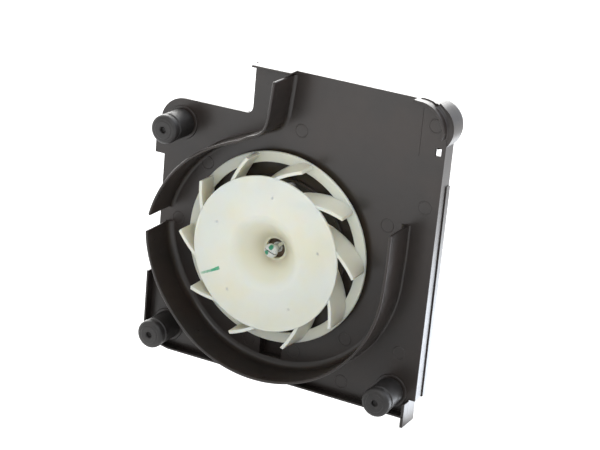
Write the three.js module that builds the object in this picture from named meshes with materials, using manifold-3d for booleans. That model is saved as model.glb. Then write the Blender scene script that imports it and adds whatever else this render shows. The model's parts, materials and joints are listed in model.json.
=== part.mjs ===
// Radial fan assembly of a refrigerator: a moulded scroll housing with rubber dampers, a ten-blade
// wheel with backward-curved blades, and the outer-rotor motor that carries it.
// Units are millimetres. Y is the wheel axis and the front of the fan faces -Y, +Z is up, and the
// origin is on the wheel axis in the front face of the housing floor.
import * as THREE from "three";
import { mergeVertices } from "three/addons/utils/BufferGeometryUtils.js";
import Module from "manifold-3d";

const wasm = await Module();
wasm.setup();

// ---- driving dimensions ----

const GAP = 0.3; // between two pieces that touch
const FLOOR_T = 2.5; // housing floor, front face at y = 0

// Housing outline in the XZ plane
const LEFT = -98.4;
const RIGHT = 115.2;
const TOP = 128.2;
const CORNER = [96.3, 107]; // centre of the top right corner
const BOTTOM = -100;
const NECK_X = -30; // left side of the outlet neck
const ARM_Z = 91; // upper edge of the arm that carries the top left damper
const SKIRT_LEFT = -102.6; // left edge beside the bottom left damper
const SKIRT_TOP = -41.5; // upper end of that wider part
const TAB_X = -106; // small tab on the left edge
const TAB_Z = [47, 56];
const CORNER_R = 20; // round corner at the pocket
const ARM_R = 19; // round corner at the top left damper
const ARM_X = -84; // centre of that corner
const SKIRT_CORNER = [-86.5, -81]; // centre of the round corner at the bottom left damper
const FOOT_X = 110.5; // right edge below the rear flange
const FLANGE_BOTTOM = -88;

// Scroll wall
const WALL_H = 29.5;
const WALL_T = 2;
const SCROLL_RADII = [93, 91, 89.8, 91, 91.8, 92.8, 94, 94.7, 95.2, 95.4]; // outer, evenly from 181.5 to 360
const SCROLL_START = 181.5;
const TONGUE_R = 83; // outer radius beside the tongue
const TONGUE_END = 174; // angle where the tongue wall stops short of the scroll wall
const OUTLET_END_Z = 38; // upper end of the right hand wall

// Inlet
const INLET_R = 50;
const COLLAR_T = 2.2;
const COLLAR_Y = [-2, 5];

// Motor carrier: a dish behind the inlet on three legs
const DISH_R = [31, 46];
const DISH_Y = [12, 14];
const LEG_ANGLES = [30, 150, 270];
const LEG_W = 12;
const LEG_R = [44, 66];
const LEG_FOOT_R = 61; // radius of the three carrier screws
const LEG_FOOT_Y = 8; // plane between housing boss and leg
const FIXING_ANGLES = [90, 210, 330];
const FIXING_R = 39.5; // radius of the three motor screws
const BOSS_R = 5;
const PILOT_R = 1.9;

// Rear flange, lips and pocket
const FLANGE_DEPTH = 17;
const LIP_H = 7;
const NECK_LIP_H = 10;
const LIP_T = 1.6;
const POCKET = { x: 103.2, z: 108.8, r: 17.2, depth: 21, wall: 2 };
const WINDOW = { x: [-8.8, 8.8], z: [-84.6, -72], depth: 8.5, wall: 1.5 };

// Dampers: centre of each in X and Z
const DAMPERS = {
  top_left: [-85.2, 73.3],
  bottom_left: [-85.6, -82],
  bottom_right: [96.2, -84.8],
};
const DAMPER_R = 10.8;
const DAMPER_L = 27.5;
const SEAT_R = 12.4; // round seat of a damper on the plate
const PIN_R = 4;

// Wheel
const WHEEL_R = 70;
const RING_INNER_R = 62.3;
const RING_Y = [-6, -4];
const DISC_R = 56.3;
const DISC_Y = [-23.2, -21.2];
const FUNNEL_R = 25; // where the disc turns into the funnel
const HUB_Y = [-6, -3];
const HUB_HOLE_R = 7.2;
const BLADES = 10;
const BLADE_T = 2.5;
const BLADE_TIP_R = 68.6; // middle of the blade's thickness at its outer end
const BLADE_ROOT_R = 42;
const BLADE_SLOPE = 0.743; // tangent of the angle between blade and circumference
const FIRST_TIP = 34.5; // degrees from +X towards +Z

// Motor
const SHAFT_R = 1.5;
const CUP_R = 27;
const CUP_Y = [-0.6, 15];
const CUP_T = 1.5;
const MAGNET_T = 3;
const STATOR_R = 21.2;
const CORE_Y = [5.2, 11.8];
const TEETH = 6;
const TOOTH_W = 4;
const BASE_R = 29.5;
const BASE_Y = [4, 24];
const BASE_T = 1.6;
const TUBE_R = 6;
const BOARD_Y = [17.4, 19];

const ROUND = 44; // sides of a large round piece
const SMALL = 18; // sides of a small one

// ---- solids ----

function toSolid(geometry) {
  const bare = geometry.clone();
  bare.deleteAttribute("normal");
  bare.deleteAttribute("uv");
  const merged = mergeVertices(bare, 1e-4);
  return new wasm.Manifold(
    new wasm.Mesh({
      numProp: 3,
      vertProperties: new Float32Array(merged.attributes.position.array),
      triVerts: new Uint32Array(merged.index.array),
    }),
  );
}

function toGeometry(solid) {
  const mesh = solid.getMesh();
  const geometry = new THREE.BufferGeometry();
  geometry.setAttribute("position", new THREE.BufferAttribute(mesh.vertProperties, 3));
  geometry.setIndex(new THREE.BufferAttribute(mesh.triVerts, 1));
  geometry.computeVertexNormals();
  return geometry;
}

function join(solids) {
  return solids.reduce((whole, piece) => whole.add(piece));
}

function cut(solid, tools) {
  return tools.reduce((left, tool) => left.subtract(tool), solid);
}

function areaOf(points) {
  return THREE.ShapeUtils.area(points.map(([x, y]) => new THREE.Vector2(x, y)));
}

// A closed outline [r, y] turned about the Y axis.
function turned(outline, sides = SMALL) {
  const points = areaOf(outline) < 0 ? [...outline].reverse() : [...outline];
  points.push(points[0]);
  const profile = points.map(([r, y]) => new THREE.Vector2(r, y));
  return toSolid(new THREE.LatheGeometry(profile, sides));
}

function tube(inner, outer, [y0, y1], sides = SMALL) {
  return turned([[inner, y0], [outer, y0], [outer, y1], [inner, y1]], sides);
}

function rod(radius, [y0, y1], sides = SMALL) {
  const geometry = new THREE.CylinderGeometry(radius, radius, y1 - y0, sides);
  geometry.translate(0, (y0 + y1) / 2, 0);
  return toSolid(geometry);
}

// A flat shape in XZ with its thickness from y0 to y1.
function slab(shape, [y0, y1], curveSegments = 12) {
  const geometry = new THREE.ExtrudeGeometry(shape, {
    depth: y1 - y0,
    bevelEnabled: false,
    curveSegments,
  });
  geometry.rotateX(Math.PI / 2);
  geometry.translate(0, y1, 0);
  return toSolid(geometry);
}

function block([x0, x1], [y0, y1], [z0, z1]) {
  const geometry = new THREE.BoxGeometry(x1 - x0, y1 - y0, z1 - z0);
  geometry.translate((x0 + x1) / 2, (y0 + y1) / 2, (z0 + z1) / 2);
  return toSolid(geometry);
}

function at(solid, x, z, y = 0) {
  return solid.translate([x, y, z]);
}

// Turns a solid about the Y axis by an angle measured from +X towards +Z.
function swung(solid, degrees) {
  return solid.rotate([0, -degrees, 0]);
}

function polar(radius, degrees) {
  const angle = THREE.MathUtils.degToRad(degrees);
  return [radius * Math.cos(angle), radius * Math.sin(angle)];
}

function shapeOf(points) {
  return new THREE.Shape(points.map(([x, z]) => new THREE.Vector2(x, z)));
}

function roundRect(width, height, radius) {
  const shape = new THREE.Shape();
  const w = width / 2;
  const h = height / 2;
  shape.absarc(w - radius, h - radius, radius, 0, Math.PI / 2);
  shape.absarc(radius - w, h - radius, radius, Math.PI / 2, Math.PI);
  shape.absarc(radius - w, radius - h, radius, Math.PI, Math.PI * 1.5);
  shape.absarc(w - radius, radius - h, radius, Math.PI * 1.5, Math.PI * 2);
  return shape;
}

// Points of an arc about [cx, cz], from one angle to another in degrees.
function arc(cx, cz, radius, from, to, steps) {
  return Array.from({ length: steps + 1 }, (_, i) => {
    const [x, z] = polar(radius, from + ((to - from) * i) / steps);
    return [cx + x, cz + z];
  });
}

// A wall of even thickness whose outer face follows a line of points, thickness to its right.
function wallShape(line, thickness) {
  const inner = line.map((point, i) => {
    const before = line[Math.max(i - 1, 0)];
    const after = line[Math.min(i + 1, line.length - 1)];
    const along = new THREE.Vector2(after[0] - before[0], after[1] - before[1]).normalize();
    return [point[0] + along.y * thickness, point[1] - along.x * thickness];
  });
  return shapeOf([...line, ...inner.reverse()]);
}

// ---- housing ----

function floorShape() {
  const [skirtX, skirtZ] = SKIRT_CORNER;
  return shapeOf([
    [NECK_X, TOP],
    [NECK_X, ARM_Z + 5],
    [NECK_X - 1.6, ARM_Z + 1.4],
    [NECK_X - 5, ARM_Z],
    ...arc(ARM_X, ARM_Z - ARM_R, ARM_R, 90, 165, 8),
    [TAB_X, TAB_Z[1]],
    [TAB_X, TAB_Z[0]],
    [LEFT, TAB_Z[0]],
    [LEFT, SKIRT_TOP],
    [SKIRT_LEFT, SKIRT_TOP],
    ...arc(skirtX, skirtZ, skirtX - SKIRT_LEFT, 180, 255, 8),
    [skirtX + 6, BOTTOM + 1.6],
    [FOOT_X, BOTTOM],
    [FOOT_X, FLANGE_BOTTOM],
    [RIGHT, FLANGE_BOTTOM],
    ...arc(...CORNER, CORNER_R, 0, 90, 10),
    [2, TOP],
  ]);
}

// Outer face of the tongue wall, clockwise from the open gap at the left up into the outlet neck.
function tongueLine() {
  const steps = 7;
  const bend = Array.from({ length: steps + 1 }, (_, i) => {
    const angle = TONGUE_END - (i * (TONGUE_END - 107)) / steps;
    const opened = THREE.MathUtils.clamp((angle - 118) / 60, 0, 1);
    return polar(TONGUE_R + (SCROLL_RADII[0] - TONGUE_R) * opened ** 1.2, angle);
  });
  const lift = [
    [-18, 83.4],
    [-12, 85.6],
    [-7, 89.5],
    [-4.4, 96],
    [-3.2, 107],
    [-1.8, TOP - 3],
  ];
  return [...bend, ...lift];
}

// Outer face of the scroll wall, clockwise from the upper end on the right, round below the wheel.
function scrollLine() {
  const steps = 32;
  const radii = new THREE.SplineCurve(SCROLL_RADII.map((r, i) => new THREE.Vector2(i, r)));
  const bend = radii.getPoints(steps).map((point, i) =>
    polar(point.y, SCROLL_START + ((360 - SCROLL_START) * i) / steps),
  );
  return [...bend, [96.2, 14], [96.4, OUTLET_END_Z]].reverse();
}

function lip([x0, x1], [z0, z1], height) {
  return block([x0, x1], [-height, FLOOR_T], [z0, z1]);
}

function skirtLip() {
  const [x, z] = SKIRT_CORNER;
  const line = [
    [SKIRT_LEFT, SKIRT_TOP],
    ...arc(x, z, x - SKIRT_LEFT, 180, 255, 8),
    [x + 6, BOTTOM + 1.6],
    [FOOT_X, BOTTOM],
  ];
  return slab(wallShape(line.reverse(), LIP_T), [-LIP_H, 1]);
}

function cornerLip() {
  const [x, z] = CORNER;
  const line = [[RIGHT, z - 3.5], ...arc(x, z, CORNER_R, 0, 90, 10), [x - 4, TOP - 0.9]];
  return slab(wallShape(line.reverse(), LIP_T), [-LIP_H, 1]);
}

// Round pocket on the back of the top right corner, with a post inside.
function pocket() {
  const { x, z, r, depth, wall } = POCKET;
  const cup = turned([
    [0, 0.5],
    [r, 0.5],
    [r, depth - 4],
    [r - 1.2, depth - 1.2],
    [r - 4, depth],
    [r - 4 - wall, depth],
    [r - wall, depth - 5],
    [r - wall, FLOOR_T],
    [4.6, FLOOR_T],
    [4.6, depth - 6],
    [0, depth - 6],
  ]);
  return at(cup, x, z);
}

// Shallow box behind the window below the wheel.
function windowBox() {
  const { x, z, depth, wall } = WINDOW;
  return block([x[0] - wall, x[1] + wall], [1, depth + wall], [z[0] - wall, z[1] + wall]);
}

function rearFlange() {
  const top = CORNER[1];
  const side = block([RIGHT - LIP_T, RIGHT], [0.5, FLANGE_DEPTH], [FLANGE_BOTTOM, top]);
  const step = block([RIGHT - LIP_T, RIGHT + 0.9], [FLANGE_DEPTH - 6, FLANGE_DEPTH], [
    FLANGE_BOTTOM,
    top - 40,
  ]);
  const bottom = block([-78, FOOT_X], [0.5, 9], [BOTTOM + 0.6, BOTTOM + 0.6 + LIP_T]);
  const left = block([LEFT, LEFT + LIP_T], [0.5, 9], [SKIRT_TOP, TAB_Z[0]]);
  const tab = block([FOOT_X - 2.2, FOOT_X], [-LIP_H, FLANGE_DEPTH - 4], [-107, FLANGE_BOTTOM - 1]);
  return join([side, step, bottom, left, tab]);
}

// Stiffening ribs on the back, from the inlet collar out to the edges.
function rearRibs() {
  const ribs = [
    [[-1, 1], [INLET_R + 1, TOP - 2], 6],
    [[60, 62], [-BOTTOM - 30, TOP - 2], 6],
  ].map(([x, z, depth]) => block(x, [1, depth], z));
  const spokes = [30, 150, 228, 312].map((angle) =>
    swung(block([INLET_R + 1, 88], [1, 6], [-1, 1]), angle),
  );
  const bosses = LEG_ANGLES.map((angle) =>
    at(rod(BOSS_R, [1, LEG_FOOT_Y]), ...polar(LEG_FOOT_R, angle)),
  );
  return join([...ribs, ...spokes, ...bosses]);
}

function damperPins() {
  return Object.values(DAMPERS).flatMap(([x, z]) => [
    at(rod(PIN_R, [-19, 1]), x, z),
    at(tube(PIN_R - 1, SEAT_R, [-1, 1]), x, z),
  ]);
}

function scrollHousing() {
  const floor = slab(floorShape(), [0, FLOOR_T]);
  const walls = [tongueLine(), scrollLine()].map((line) =>
    slab(wallShape(line, WALL_T), [-WALL_H, 1]),
  );
  const lips = [
    lip([NECK_X + 1.6, 2], [TOP - LIP_T, TOP], NECK_LIP_H),
    skirtLip(),
    cornerLip(),
  ];
  const collar = tube(INLET_R, INLET_R + COLLAR_T, COLLAR_Y, ROUND);
  const plate = join([floor, ...lips, rearFlange(), rearRibs(), windowBox(), ...damperPins()]);
  const solid = join([cut(plate, [rod(INLET_R, [-10, 30], ROUND)]), collar, ...walls, pocket()]);
  const window = block(WINDOW.x, [-1, WINDOW.depth], WINDOW.z);
  const plugHole = block([109.2, 113.2], [-1, 4], [92, 99.2]);
  const pocketSlot = block([104, 113.2], [FLOOR_T, 10], [86, 99.2]);
  const pilots = LEG_ANGLES.map((angle) => at(rod(PILOT_R, [3.3, 9]), ...polar(LEG_FOOT_R, angle)));
  return cut(solid, [window, plugHole, pocketSlot, ...pilots]);
}

function motorCarrier() {
  const [y0, y1] = DISH_Y;
  const dish = turned(
    [
      [DISH_R[0], y0 - 3],
      [DISH_R[0] + 1.6, y0 - 3],
      [DISH_R[0] + 1.6, y0],
      [DISH_R[1], y0],
      [DISH_R[1], y1],
      [DISH_R[0], y1],
    ],
    ROUND,
  );
  const bosses = FIXING_ANGLES.map((angle) => at(rod(BOSS_R, [5, y1]), ...polar(FIXING_R, angle)));
  const legs = LEG_ANGLES.flatMap((angle) => [
    swung(block(LEG_R, [y0 - 1, y1], [-LEG_W / 2, LEG_W / 2]), angle),
    swung(block([56, LEG_R[1]], [LEG_FOOT_Y + GAP, y1], [-LEG_W / 2, LEG_W / 2]), angle),
  ]);
  const pilots = FIXING_ANGLES.map((angle) => at(rod(PILOT_R, [3, 20]), ...polar(FIXING_R, angle)));
  const screwHoles = LEG_ANGLES.map((angle) => at(rod(PILOT_R, [3, 20]), ...polar(LEG_FOOT_R, angle)));
  return cut(join([dish, ...bosses, ...legs]), [...pilots, ...screwHoles]);
}

// ---- wheel ----

function bladeShape() {
  const steps = 9;
  const sides = [1, -1].map((side) =>
    Array.from({ length: steps + 1 }, (_, i) => {
      const share = i / steps;
      const radius = BLADE_TIP_R + (BLADE_ROOT_R - BLADE_TIP_R) * share;
      const angle = Math.log(BLADE_TIP_R / radius) / BLADE_SLOPE;
      const lean = angle + Math.PI / 2 - Math.atan(BLADE_SLOPE);
      const half = (side * BLADE_T * (1 - 0.45 * share ** 3)) / 2;
      const x = radius * Math.cos(angle) - half * Math.sin(lean + Math.PI / 2);
      const z = radius * Math.sin(angle) + half * Math.cos(lean + Math.PI / 2);
      return [x, z];
    }),
  );
  return shapeOf([...sides[0], ...sides[1].reverse()]);
}

function impeller() {
  const disc = turned(
    [
      [DISC_R, DISC_Y[0] + 0.4],
      [DISC_R - 0.4, DISC_Y[0]],
      [FUNNEL_R + 2, DISC_Y[0]],
      [FUNNEL_R - 1, DISC_Y[0] + 0.9],
      [FUNNEL_R - 4, DISC_Y[0] + 3.4],
      [13, HUB_Y[0] - 3],
      [10.6, HUB_Y[0]],
      [HUB_HOLE_R, HUB_Y[0]],
      [HUB_HOLE_R, HUB_Y[1]],
      [12.4, HUB_Y[1]],
      [15, HUB_Y[0] - 2],
      [FUNNEL_R - 1.6, DISC_Y[1] + 2.4],
      [FUNNEL_R + 2.4, DISC_Y[1]],
      [DISC_R, DISC_Y[1]],
    ],
    ROUND,
  );
  const ring = tube(RING_INNER_R, WHEEL_R, RING_Y, ROUND);
  const blade = slab(bladeShape(), [DISC_Y[0] + 0.6, RING_Y[1] - 0.4]);
  const rim = rod(WHEEL_R - 0.05, [-40, 10], ROUND);
  const blades = Array.from({ length: BLADES }, (_, i) =>
    swung(blade, FIRST_TIP + (i * 360) / BLADES).intersect(rim),
  );
  const collar = tube(3.2, 4.6, [-8, HUB_Y[1]]);
  const spokes = [45, 225].map((angle) => swung(block([4, 8], [-6.6, HUB_Y[1]], [-1.2, 1.2]), angle));
  return join([disc, ring, ...blades, collar, ...spokes]);
}

// ---- rotor ----

// Split snap-in spindle that holds the wheel's hub collar.
function spindle() {
  const body = turned([
    [0, -15.4],
    [3.6, -15.4],
    [5, -13.5],
    [5, -11],
    [2.9, -11],
    [2.9, HUB_Y[1] + GAP],
    [9, HUB_Y[1] + GAP],
    [9, CUP_Y[0] - GAP],
    [0, CUP_Y[0] - GAP],
  ]);
  const slit = swung(block([-6, 6], [-20, -6.4], [-0.5, 0.5]), -20);
  const bore = rod(SHAFT_R + GAP, [-4.8, 5]);
  return cut(body, [slit, bore]);
}

function rotorCup() {
  return turned(
    [
      [SHAFT_R + GAP + 2, CUP_Y[0]],
      [CUP_R - 1.2, CUP_Y[0]],
      [CUP_R, CUP_Y[0] + 1.2],
      [CUP_R, CUP_Y[1]],
      [CUP_R - CUP_T, CUP_Y[1]],
      [CUP_R - CUP_T, CUP_Y[0] + CUP_T],
      [SHAFT_R + GAP + 2, CUP_Y[0] + CUP_T],
    ],
    ROUND,
  );
}

function rotorMagnet() {
  const outer = CUP_R - CUP_T - GAP;
  return tube(outer - MAGNET_T, outer, [CUP_Y[0] + CUP_T + GAP, CUP_Y[1] - 0.8], ROUND);
}

// ---- stator and motor case ----

function statorPlate([y0, y1], outer) {
  const hub = tube(TUBE_R + GAP, 9.5, [y0, y1]);
  const shoeArc = 46;
  const teeth = Array.from({ length: TEETH }, (_, i) => {
    const angle = (i * 360) / TEETH;
    const neck = block([8.8, outer - 1.5], [y0, y1], [-TOOTH_W / 2, TOOTH_W / 2]);
    const shoe = slab(
      shapeOf([
        ...arc(0, 0, outer, -shoeArc / 2, shoeArc / 2, 4),
        ...arc(0, 0, outer - 2.4, shoeArc / 2, -shoeArc / 2, 4),
      ]),
      [y0, y1],
    );
    return swung(join([neck, shoe]), angle);
  });
  return join([hub, ...teeth]);
}

// Winding round one tooth: a rounded ring, long in Y, that stands out along the tooth.
function coil() {
  const height = CORE_Y[1] - CORE_Y[0] + 5;
  const outline = roundRect(TOOTH_W + 4.6, height + 2.4, 2);
  const hole = roundRect(TOOTH_W + 2 * GAP, height - 1, 0.4);
  outline.holes.push(new THREE.Path(hole.getPoints(3)));
  const geometry = new THREE.ExtrudeGeometry(outline, {
    depth: 6.4,
    bevelEnabled: false,
    curveSegments: 3,
  });
  geometry.rotateY(Math.PI / 2);
  return toSolid(geometry);
}

function motorBase() {
  const [y0, y1] = BASE_Y;
  const shell = turned(
    [
      [0, y1],
      [BASE_R - 2, y1],
      [BASE_R, y1 - 2],
      [BASE_R, y0],
      [BASE_R - BASE_T, y0],
      [BASE_R - BASE_T, y1 - BASE_T],
      [0, y1 - BASE_T],
    ],
    ROUND,
  );
  const ears = FIXING_ANGLES.flatMap((angle) => [
    swung(block([BASE_R - 1, FIXING_R], [15.8, 17.8], [-5.6, 5.6]), angle),
    at(rod(5.6, [15.8, 17.8]), ...polar(FIXING_R, angle)),
  ]);
  const holes = FIXING_ANGLES.map((angle) => at(rod(3.3, [14, 20]), ...polar(FIXING_R, angle)));
  const vents = Array.from({ length: 6 }, (_, i) =>
    swung(block([13, 22], [y1 - 3, y1 + 1], [-1.3, 1.3]), 60 * i + 30),
  );
  const socketMouth = block([-7.3, 7.3], [15.2, 22], [-BASE_R - 3, -BASE_R + 6]);
  return cut(join([shell, ...ears]), [...holes, ...vents, socketMouth]);
}

function grommet() {
  return turned([
    [1.9, 14.3],
    [5, 14.3],
    [5, 15.5],
    [3, 15.5],
    [3, 18.1],
    [5, 18.1],
    [5, 19.3],
    [1.9, 19.3],
  ]);
}

// Pan head screw along +Y: tip, underside of the head and the cross in the head.
function screw(tip, seat) {
  const body = turned([
    [0, tip],
    [1.6, tip + 1],
    [1.6, seat],
    [4, seat],
    [4, seat + 1],
    [3, seat + 2],
    [0, seat + 2],
  ]);
  const slots = [0, 90].map((angle) =>
    swung(block([-2, 2], [seat + 0.8, seat + 3], [-0.45, 0.45]), angle),
  );
  return cut(body, slots);
}

function connectorSocket() {
  const shell = block([-7, 7], [15.5, 21.7], [-BASE_R - 6, -BASE_R + 5]);
  const mouth = block([-5.8, 5.8], [16.7, 20.5], [-BASE_R - 8, -BASE_R + 2]);
  const key = block([-2, 2], [14, 17], [-BASE_R - 8, -BASE_R - 2]);
  const pinHoles = [-3.6, 0, 3.6].map((x) =>
    block([x - 0.8, x + 0.8], [17.8, 19.4], [-BASE_R, -BASE_R + 8]),
  );
  return cut(shell, [mouth, key, ...pinHoles]);
}

function damper() {
  const tip = -DAMPER_L;
  return turned([
    [0, tip + 3],
    [2, tip + 3],
    [2, tip + 0.5],
    [2.6, tip],
    [DAMPER_R - 2.2, tip],
    [DAMPER_R - 0.5, tip + 0.9],
    [DAMPER_R, tip + 2.6],
    [DAMPER_R, tip + 6],
    [DAMPER_R - 1.5, tip + 6.6],
    [DAMPER_R - 1.5, tip + 8.2],
    [DAMPER_R - 0.5, tip + 8.8],
    [DAMPER_R - 0.3, -1 - GAP],
    [PIN_R + GAP, -1 - GAP],
    [PIN_R + GAP, -19 - GAP],
    [0, -19 - GAP],
  ]);
}

// ---- finishes and assembly ----

const FINISHES = {
  housing: [0x34312e, 0.55, 0],
  rubber: [0x2b2a29, 0.8, 0],
  wheel: [0xdcddd0, 0.5, 0],
  steel: [0xb4b6b8, 0.35, 1],
  magnet: [0x3a3836, 0.7, 0.2],
  laminations: [0x8d9092, 0.5, 0.9],
  bronze: [0xa8773f, 0.45, 0.9],
  brass: [0xc2a35a, 0.35, 1],
  winding: [0xa4562a, 0.4, 0.6],
  insulator: [0xe6e2d6, 0.6, 0],
  board: [0x2f6b40, 0.5, 0],
  case: [0x2c2b2a, 0.6, 0],
  component: [0x1d1d1e, 0.5, 0],
};

function finish(name) {
  const [color, roughness, metalness] = FINISHES[name];
  return new THREE.MeshStandardMaterial({ color, roughness, metalness });
}

const assembly = new THREE.Group();
assembly.name = "blower";

function add(name, solid, finishName) {
  const mesh = new THREE.Mesh(toGeometry(solid), finish(finishName));
  mesh.name = name;
  assembly.add(mesh);
}

add("scroll_housing", scrollHousing(), "housing");
add("motor_carrier", motorCarrier(), "housing");
for (const [corner, [x, z]] of Object.entries(DAMPERS)) {
  add("damper_" + corner, at(damper(), x, z), "rubber");
}

add("impeller", impeller(), "wheel");
add("wheel_spindle", spindle(), "wheel");
add("rotor_cup", rotorCup(), "case");
add("rotor_magnet", rotorMagnet(), "magnet");
add("rotor_shaft", rod(SHAFT_R, [-4.4, 20.4]), "steel");
add("thrust_washer", tube(SHAFT_R + GAP, 3.6, [2.4, 3]), "insulator");

add("bearing_tube", tube(4.3, TUBE_R, [2.6, BASE_Y[1] - BASE_T - GAP]), "brass");
add("bearing_front", tube(SHAFT_R + GAP, 4, [3.4, 8.4]), "bronze");
add("bearing_rear", tube(SHAFT_R + GAP, 4, [13.6, 18.6]), "bronze");
add("shaft_clip", cut(tube(SHAFT_R + GAP, 3.4, [19, 19.7]), [block([0, 5], [18, 21], [-0.8, 0.8])]), "steel");
add("stator_core", statorPlate(CORE_Y, STATOR_R), "laminations");
add("insulator_front", statorPlate([CORE_Y[0] - 1.5, CORE_Y[0] - GAP], STATOR_R - 0.6), "insulator");
add("insulator_rear", statorPlate([CORE_Y[1] + GAP, CORE_Y[1] + 1.5], STATOR_R - 0.6), "insulator");
for (let i = 0; i < TEETH; i++) {
  const placed = coil().translate([10.6, (CORE_Y[0] + CORE_Y[1]) / 2, 0]);
  add("coil_" + (i + 1), swung(placed, (i * 360) / TEETH), "winding");
}

add("motor_board", tube(TUBE_R + GAP, 22, BOARD_Y, ROUND), "board");
add("hall_sensor", block([-2, 2], [15.8, BOARD_Y[0] - GAP], [18.2, 20.6]), "component");
add("driver_chip", block([9, 15], [15.8, BOARD_Y[0] - GAP], [9, 13]), "component");
add("motor_base", motorBase(), "case");
add("connector_socket", connectorSocket(), "insulator");
[-3.6, 0, 3.6].forEach((x, i) => {
  const pin = block([x - 0.4, x + 0.4], [18.2, 19], [-BASE_R - 4, -BASE_R + 7]);
  add("connector_pin_" + (i + 1), pin, "steel");
});
FIXING_ANGLES.forEach((angle, i) => {
  const [x, z] = polar(FIXING_R, angle);
  add("grommet_" + (i + 1), at(grommet(), x, z), "rubber");
  add("motor_screw_" + (i + 1), at(screw(6, 19.6), x, z), "steel");
});
LEG_ANGLES.forEach((angle, i) => {
  add("carrier_screw_" + (i + 1), at(screw(3.8, DISH_Y[1] + GAP), ...polar(LEG_FOOT_R, angle)), "steel");
});

export default assembly;
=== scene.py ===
"""Radial fan unit: off-white blower wheel on an outer-rotor motor, in a black scroll housing."""

import json
import math

import bmesh
import bpy
from mathutils import Matrix, Vector

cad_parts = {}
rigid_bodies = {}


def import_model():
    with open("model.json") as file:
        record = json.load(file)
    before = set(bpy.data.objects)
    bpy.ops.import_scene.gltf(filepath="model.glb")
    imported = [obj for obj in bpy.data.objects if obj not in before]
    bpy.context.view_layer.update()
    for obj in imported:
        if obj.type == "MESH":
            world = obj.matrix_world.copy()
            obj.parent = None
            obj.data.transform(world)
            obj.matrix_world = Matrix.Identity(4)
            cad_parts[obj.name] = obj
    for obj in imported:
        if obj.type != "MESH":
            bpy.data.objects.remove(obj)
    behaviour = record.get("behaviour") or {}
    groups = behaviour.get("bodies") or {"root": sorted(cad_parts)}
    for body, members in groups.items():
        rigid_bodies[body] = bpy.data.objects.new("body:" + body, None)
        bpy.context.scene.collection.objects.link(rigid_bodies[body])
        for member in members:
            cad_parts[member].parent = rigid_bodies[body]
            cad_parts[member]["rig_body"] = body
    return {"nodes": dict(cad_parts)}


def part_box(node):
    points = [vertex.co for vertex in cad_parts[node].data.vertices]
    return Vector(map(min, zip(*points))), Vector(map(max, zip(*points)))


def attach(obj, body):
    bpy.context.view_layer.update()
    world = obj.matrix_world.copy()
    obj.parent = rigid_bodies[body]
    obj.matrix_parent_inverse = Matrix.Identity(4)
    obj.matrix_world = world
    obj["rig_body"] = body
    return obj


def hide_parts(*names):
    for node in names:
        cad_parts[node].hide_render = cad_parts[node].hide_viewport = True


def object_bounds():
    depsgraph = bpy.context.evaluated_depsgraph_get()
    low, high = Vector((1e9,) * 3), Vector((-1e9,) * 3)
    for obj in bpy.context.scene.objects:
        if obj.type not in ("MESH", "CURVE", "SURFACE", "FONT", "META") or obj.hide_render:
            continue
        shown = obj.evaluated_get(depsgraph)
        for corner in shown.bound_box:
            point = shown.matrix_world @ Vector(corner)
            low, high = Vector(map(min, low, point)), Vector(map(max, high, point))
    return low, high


bl_info = {
    "name": "Radial Fan Unit",
    "version": (1, 0, 0),
    "blender": (4, 5, 0),
    "location": "View3D > Sidebar > Fan Unit",
    "description": "Builds the finished surfaces of a radial fan unit around its packed model",
    "category": "Add Mesh",
}

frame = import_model()
CAD_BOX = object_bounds()

MM = 0.001
FULL_TURN = 2 * math.pi


def box_of(node):
    """Lowest and highest corner of a node in millimetres."""
    low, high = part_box(node)
    return low / MM, high / MM


HOUSING_LOW, HOUSING_HIGH = box_of("scroll_housing")
WHEEL_LOW, WHEEL_HIGH = box_of("impeller")
SPINDLE_LOW, SPINDLE_HIGH = box_of("wheel_spindle")

WHITE = (1.0, 1.0, 1.0)
AIM = Vector((14.5, 0.0, 19.1))  # the camera's aiming point, in millimetres
LAMP_PLACE = Vector((0.75, -1.2, 1.0))
FLOOR_REACH = 6.0
FLOOR_GAP = 0.0005


def middle_of(node):
    """Centre of a node in X and Z, in millimetres."""
    low, high = box_of(node)
    return (low.x + high.x) / 2, (low.z + high.z) / 2


# ---- what a user can change ----


def length(name, description, millimetres):
    return bpy.props.FloatProperty(name=name, description=description, default=millimetres, min=0.0)


def turn(name, description, degrees):
    return bpy.props.FloatProperty(
        name=name, description=description, default=math.radians(degrees), subtype="ANGLE"
    )


def colour(name, description, shade):
    return bpy.props.FloatVectorProperty(
        name=name, description=description, default=shade, subtype="COLOR", size=3, min=0.0, max=1.0
    )


class FanHousingSettings(bpy.types.PropertyGroup):
    """Sizes of the moulded housing, in millimetres."""

    floor: length("Floor", "Thickness of the housing floor", 2.5)
    wall: length("Scroll wall", "Thickness of the scroll wall", 2.0)
    wall_height: length("Wall height", "Height of the scroll wall above the floor", -HOUSING_LOW.y)
    root_fillet: length("Root fillet", "Radius between scroll wall and floor, on the air side", 5.0)
    tongue_fillet: length("Tongue fillet", "Radius between tongue wall and floor, on the air side", 2.5)
    outer_fillet: length("Outer fillet", "Radius between scroll wall and floor, outside", 1.2)
    edge: length("Edge radius", "Rounding of the housing's edges", 0.45)
    lip: length("Lip", "Thickness of the lips", 1.6)


class FanWheelSettings(bpy.types.PropertyGroup):
    """Sizes of the wheel, in millimetres."""

    radius: length("Radius", "Outer radius of the rear ring", WHEEL_HIGH.x)
    ring_inner: length("Ring inside", "Inner radius of the rear ring", 62.3)
    disc: length("Disc", "Radius of the front disc", 56.3)
    blade: length("Blade", "Thickness of a blade", 2.5)
    swell: length("Swell", "How much fuller a blade is at the ring", 4.2)
    blades: bpy.props.IntProperty(name="Blades", description="Number of blades", default=10, min=3)
    funnel: length("Funnel", "Radius where the disc turns into the funnel", 25.0)
    bore: length("Bore", "Radius of the hole in the hub", 7.2)


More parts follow.
